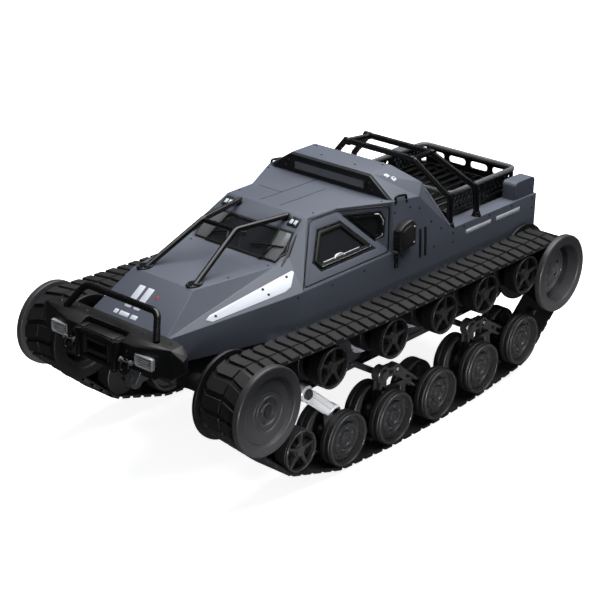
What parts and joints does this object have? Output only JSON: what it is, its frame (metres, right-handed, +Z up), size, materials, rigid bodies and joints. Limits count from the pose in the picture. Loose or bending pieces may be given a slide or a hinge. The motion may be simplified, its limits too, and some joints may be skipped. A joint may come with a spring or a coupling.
{
  "type": "tracked robot vehicle",
  "caption": "Radio-control tracked vehicle: low hull with angular cab and cargo rack, riding on rubber tracks with sprung bogie wheels.",
  "frame": {"origin": "on the ground, at the middle of the vehicle's outline", "axes": "+Z up, the nose points to -Y, +X is the vehicle's left side"},
  "size_m": [0.2678, 0.5382, 0.2288],
  "materials": {
    "wheel_grey": "moulded, satin",
    "track_rubber": "matt rubber",
    "bare_alloy": "satin",
    "arm_plastic": "moulded",
    "steel": "turned",
    "hull_plastic": "moulded, fine grain",
    "motor_metal": "satin",
    "battery_wrap": "shrink wrap",
    "circuit_board": "solder mask",
    "switch_plastic": "moulded",
    "smoked_glass": "smoked, clear",
    "body_paint": "satin slate paint",
    "trim_black": "moulded, fine grain",
    "tube_black": "satin",
    "lamp_chrome": "bright plated",
    "lamp_lens": "clear"
  },
  "bodies": {
    "chassis": {"axles_and_pins": "steel", "battery_hatch": "hull_plastic", "battery_pack": "battery_wrap", "bed_tray": "trim_black", "body_shell": "body_paint", "brow_lamp_frame": "trim_black", "bumper_hoop": "tube_black", "cargo_rack": "tube_black", "chassis_tub": "hull_plastic", "control_board": "circuit_board", "deck_boxes": "body_paint", "door_left": "body_paint", "door_right": "body_paint", "front_bumper": "trim_black", "gearmotors": "motor_metal", "headlamp_bezels": "lamp_chrome", "hood_guard": "tube_black", "lamp_lenses": "lamp_lens", "louvre_panel": "trim_black", "roll_cage": "tube_black", "side_intakes": "trim_black", "tow_shackles": "tube_black", "track_belt_left": "track_rubber", "track_belt_right": "track_rubber", "winch_fairlead": "trim_black", "window_panes": "smoked_glass"},
    "sprocket_left": {"drive_sprocket_left": "wheel_grey"},
    "idler_left": {"front_idler_left": "wheel_grey"},
    "guide_wheel_left": {"guide_wheel_left": "wheel_grey"},
    "roller_1_left": {"return_roller_1_left": "wheel_grey"},
    "roller_2_left": {"return_roller_2_left": "wheel_grey"},
    "roller_3_left": {"return_roller_3_left": "wheel_grey"},
    "roller_4_left": {"return_roller_4_left": "wheel_grey"},
    "roller_5_left": {"return_roller_5_left": "wheel_grey"},
    "front_arm_left": {"front_arm_left": "bare_alloy"},
    "road_wheel_1_left": {"road_wheel_1_left": "wheel_grey"},
    "bogie_arm_mid_left": {"bogie_arm_mid_left": "arm_plastic"},
    "road_wheel_2_left": {"road_wheel_2_left": "wheel_grey"},
    "road_wheel_3_left": {"road_wheel_3_left": "wheel_grey"},
    "bogie_arm_rear_left": {"bogie_arm_rear_left": "arm_plastic"},
    "road_wheel_4_left": {"road_wheel_4_left": "wheel_grey"},
    "road_wheel_5_left": {"road_wheel_5_left": "wheel_grey"},
    "sprocket_right": {"drive_sprocket_right": "wheel_grey"},
    "idler_right": {"front_idler_right": "wheel_grey"},
    "guide_wheel_right": {"guide_wheel_right": "wheel_grey"},
    "roller_1_right": {"return_roller_1_right": "wheel_grey"},
    "roller_2_right": {"return_roller_2_right": "wheel_grey"},
    "roller_3_right": {"return_roller_3_right": "wheel_grey"},
    "roller_4_right": {"return_roller_4_right": "wheel_grey"},
    "roller_5_right": {"return_roller_5_right": "wheel_grey"},
    "front_arm_right": {"front_arm_right": "bare_alloy"},
    "road_wheel_1_right": {"road_wheel_1_right": "wheel_grey"},
    "bogie_arm_mid_right": {"bogie_arm_mid_right": "arm_plastic"},
    "road_wheel_2_right": {"road_wheel_2_right": "wheel_grey"},
    "road_wheel_3_right": {"road_wheel_3_right": "wheel_grey"},
    "bogie_arm_rear_right": {"bogie_arm_rear_right": "arm_plastic"},
    "road_wheel_4_right": {"road_wheel_4_right": "wheel_grey"},
    "road_wheel_5_right": {"road_wheel_5_right": "wheel_grey"},
    "switch": {"power_switch": "switch_plastic"}
  },
  "joints": [
    {"name": "sprocket_left_spin", "type": "hinge", "parent": "chassis", "child": "sprocket_left", "pos_m": [0.108, 0.23, 0.0961], "axis": [1, 0, 0], "continuous": true},
    {"name": "idler_left_spin", "type": "hinge", "parent": "chassis", "child": "idler_left", "pos_m": [0.108, -0.2, 0.1014], "axis": [1, 0, 0], "continuous": true},
    {"name": "guide_wheel_left_spin", "type": "hinge", "parent": "chassis", "child": "guide_wheel_left", "pos_m": [0.108, -0.1537, 0.0461], "axis": [1, 0, 0], "continuous": true},
    {"name": "roller_1_left_spin", "type": "hinge", "parent": "chassis", "child": "roller_1_left", "pos_m": [0.108, -0.111, 0.1079], "axis": [1, 0, 0], "continuous": true},
    {"name": "roller_2_left_spin", "type": "hinge", "parent": "chassis", "child": "roller_2_left", "pos_m": [0.108, -0.0275, 0.1079], "axis": [1, 0, 0], "continuous": true},
    {"name": "roller_3_left_spin", "type": "hinge", "parent": "chassis", "child": "roller_3_left", "pos_m": [0.108, 0.046, 0.1079], "axis": [1, 0, 0], "continuous": true},
    {"name": "roller_4_left_spin", "type": "hinge", "parent": "chassis", "child": "roller_4_left", "pos_m": [0.108, 0.1113, 0.1079], "axis": [1, 0, 0], "continuous": true},
    {"name": "roller_5_left_spin", "type": "hinge", "parent": "chassis", "child": "roller_5_left", "pos_m": [0.108, 0.1777, 0.1079], "axis": [1, 0, 0], "continuous": true},
    {"name": "front_arm_left_swing", "type": "hinge", "parent": "chassis", "child": "front_arm_left", "pos_m": [0.108, -0.13, 0.086], "axis": [1, 0, 0], "range_deg": [0, 8], "stiffness_Nm_per_rad": 0.6, "springref_deg": -8.02},
    {"name": "road_wheel_1_left_spin", "type": "hinge", "parent": "front_arm_left", "child": "road_wheel_1_left", "pos_m": [0.108, -0.0917, 0.0333], "axis": [1, 0, 0], "continuous": true},
    {"name": "bogie_arm_mid_left_swing", "type": "hinge", "parent": "chassis", "child": "bogie_arm_mid_left", "pos_m": [0.108, -0.0243, 0.0672], "axis": [1, 0, 0], "range_deg": [0, 8], "stiffness_Nm_per_rad": 0.6, "springref_deg": -8.02},
    {"name": "road_wheel_2_left_spin", "type": "hinge", "parent": "bogie_arm_mid_left", "child": "road_wheel_2_left", "pos_m": [0.108, -0.0243, 0.0292], "axis": [1, 0, 0], "continuous": true},
    {"name": "road_wheel_3_left_spin", "type": "hinge", "parent": "bogie_arm_mid_left", "child": "road_wheel_3_left", "pos_m": [0.108, 0.0419, 0.0292], "axis": [1, 0, 0], "continuous": true},
    {"name": "bogie_arm_rear_left_swing", "type": "hinge", "parent": "chassis", "child": "bogie_arm_rear_left", "pos_m": [0.108, 0.1095, 0.0703], "axis": [1, 0, 0], "range_deg": [0, 8], "stiffness_Nm_per_rad": 0.6, "springref_deg": -8.02},
    {"name": "road_wheel_4_left_spin", "type": "hinge", "parent": "bogie_arm_rear_left", "child": "road_wheel_4_left", "pos_m": [0.108, 0.1095, 0.0323], "axis": [1, 0, 0], "continuous": true},
    {"name": "road_wheel_5_left_spin", "type": "hinge", "parent": "bogie_arm_rear_left", "child": "road_wheel_5_left", "pos_m": [0.108, 0.1767, 0.0401], "axis": [1, 0, 0], "continuous": true},
    {"name": "sprocket_right_spin", "type": "hinge", "parent": "chassis", "child": "sprocket_right", "pos_m": [-0.108, 0.23, 0.0961], "axis": [1, 0, 0], "continuous": true},
    {"name": "idler_right_spin", "type": "hinge", "parent": "chassis", "child": "idler_right", "pos_m": [-0.108, -0.2, 0.1014], "axis": [1, 0, 0], "continuous": true},
    {"name": "guide_wheel_right_spin", "type": "hinge", "parent": "chassis", "child": "guide_wheel_right", "pos_m": [-0.108, -0.1537, 0.0461], "axis": [1, 0, 0], "continuous": true},
    {"name": "roller_1_right_spin", "type": "hinge", "parent": "chassis", "child": "roller_1_right", "pos_m": [-0.108, -0.111, 0.1079], "axis": [1, 0, 0], "continuous": true},
    {"name": "roller_2_right_spin", "type": "hinge", "parent": "chassis", "child": "roller_2_right", "pos_m": [-0.108, -0.0275, 0.1079], "axis": [1, 0, 0], "continuous": true},
    {"name": "roller_3_right_spin", "type": "hinge", "parent": "chassis", "child": "roller_3_right", "pos_m": [-0.108, 0.046, 0.1079], "axis": [1, 0, 0], "continuous": true},
    {"name": "roller_4_right_spin", "type": "hinge", "parent": "chassis", "child": "roller_4_right", "pos_m": [-0.108, 0.1113, 0.1079], "axis": [1, 0, 0], "continuous": true},
    {"name": "roller_5_right_spin", "type": "hinge", "parent": "chassis", "child": "roller_5_right", "pos_m": [-0.108, 0.1777, 0.1079], "axis": [1, 0, 0], "continuous": true},
    {"name": "front_arm_right_swing", "type": "hinge", "parent": "chassis", "child": "front_arm_right", "pos_m": [-0.108, -0.13, 0.086], "axis": [1, 0, 0], "range_deg": [0, 8], "stiffness_Nm_per_rad": 0.6, "springref_deg": -8.02},
    {"name": "road_wheel_1_right_spin", "type": "hinge", "parent": "front_arm_right", "child": "road_wheel_1_right", "pos_m": [-0.108, -0.0917, 0.0333], "axis": [1, 0, 0], "continuous": true},
    {"name": "bogie_arm_mid_right_swing", "type": "hinge", "parent": "chassis", "child": "bogie_arm_mid_right", "pos_m": [-0.108, -0.0243, 0.0672], "axis": [1, 0, 0], "range_deg": [0, 8], "stiffness_Nm_per_rad": 0.6, "springref_deg": -8.02},
    {"name": "road_wheel_2_right_spin", "type": "hinge", "parent": "bogie_arm_mid_right", "child": "road_wheel_2_right", "pos_m": [-0.108, -0.0243, 0.0292], "axis": [1, 0, 0], "continuous": true},
    {"name": "road_wheel_3_right_spin", "type": "hinge", "parent": "bogie_arm_mid_right", "child": "road_wheel_3_right", "pos_m": [-0.108, 0.0419, 0.0292], "axis": [1, 0, 0], "continuous": true},
    {"name": "bogie_arm_rear_right_swing", "type": "hinge", "parent": "chassis", "child": "bogie_arm_rear_right", "pos_m": [-0.108, 0.1095, 0.0703], "axis": [1, 0, 0], "range_deg": [0, 8], "stiffness_Nm_per_rad": 0.6, "springref_deg": -8.02},
    {"name": "road_wheel_4_right_spin", "type": "hinge", "parent": "bogie_arm_rear_right", "child": "road_wheel_4_right", "pos_m": [-0.108, 0.1095, 0.0323], "axis": [1, 0, 0], "continuous": true},
    {"name": "road_wheel_5_right_spin", "type": "hinge", "parent": "bogie_arm_rear_right", "child": "road_wheel_5_right", "pos_m": [-0.108, 0.1767, 0.0401], "axis": [1, 0, 0], "continuous": true},
    {"name": "power_switch_slide", "type": "slide", "parent": "chassis", "child": "switch", "axis": [0, 1, 0], "range_m": [0, 0.004]}
  ],
  "couplings": [
    {"joint": "idler_left_spin", "follows": "sprocket_left_spin", "ratio": 1},
    {"joint": "guide_wheel_left_spin", "follows": "sprocket_left_spin", "ratio": 1.6198},
    {"joint": "roller_1_left_spin", "follows": "sprocket_left_spin", "ratio": 1.6368},
    {"joint": "roller_2_left_spin", "follows": "sprocket_left_spin", "ratio": 1.6368},
    {"joint": "roller_3_left_spin", "follows": "sprocket_left_spin", "ratio": 1.6368},
    {"joint": "roller_4_left_spin", "follows": "sprocket_left_spin", "ratio": 1.6368},
    {"joint": "roller_5_left_spin", "follows": "sprocket_left_spin", "ratio": 1.6368},
    {"joint": "road_wheel_1_left_spin", "follows": "sprocket_left_spin", "ratio": 1.2292},
    {"joint": "road_wheel_2_left_spin", "follows": "sprocket_left_spin", "ratio": 1.2292},
    {"joint": "road_wheel_3_left_spin", "follows": "sprocket_left_spin", "ratio": 1.2292},
    {"joint": "road_wheel_4_left_spin", "follows": "sprocket_left_spin", "ratio": 1.2292},
    {"joint": "road_wheel_5_left_spin", "follows": "sprocket_left_spin", "ratio": 1.2292},
    {"joint": "idler_right_spin", "follows": "sprocket_right_spin", "ratio": 1},
    {"joint": "guide_wheel_right_spin", "follows": "sprocket_right_spin", "ratio": 1.6198},
    {"joint": "roller_1_right_spin", "follows": "sprocket_right_spin", "ratio": 1.6368},
    {"joint": "roller_2_right_spin", "follows": "sprocket_right_spin", "ratio": 1.6368},
    {"joint": "roller_3_right_spin", "follows": "sprocket_right_spin", "ratio": 1.6368},
    {"joint": "roller_4_right_spin", "follows": "sprocket_right_spin", "ratio": 1.6368},
    {"joint": "roller_5_right_spin", "follows": "sprocket_right_spin", "ratio": 1.6368},
    {"joint": "road_wheel_1_right_spin", "follows": "sprocket_right_spin", "ratio": 1.2292},
    {"joint": "road_wheel_2_right_spin", "follows": "sprocket_right_spin", "ratio": 1.2292},
    {"joint": "road_wheel_3_right_spin", "follows": "sprocket_right_spin", "ratio": 1.2292},
    {"joint": "road_wheel_4_right_spin", "follows": "sprocket_right_spin", "ratio": 1.2292},
    {"joint": "road_wheel_5_right_spin", "follows": "sprocket_right_spin", "ratio": 1.2292}
  ]
}
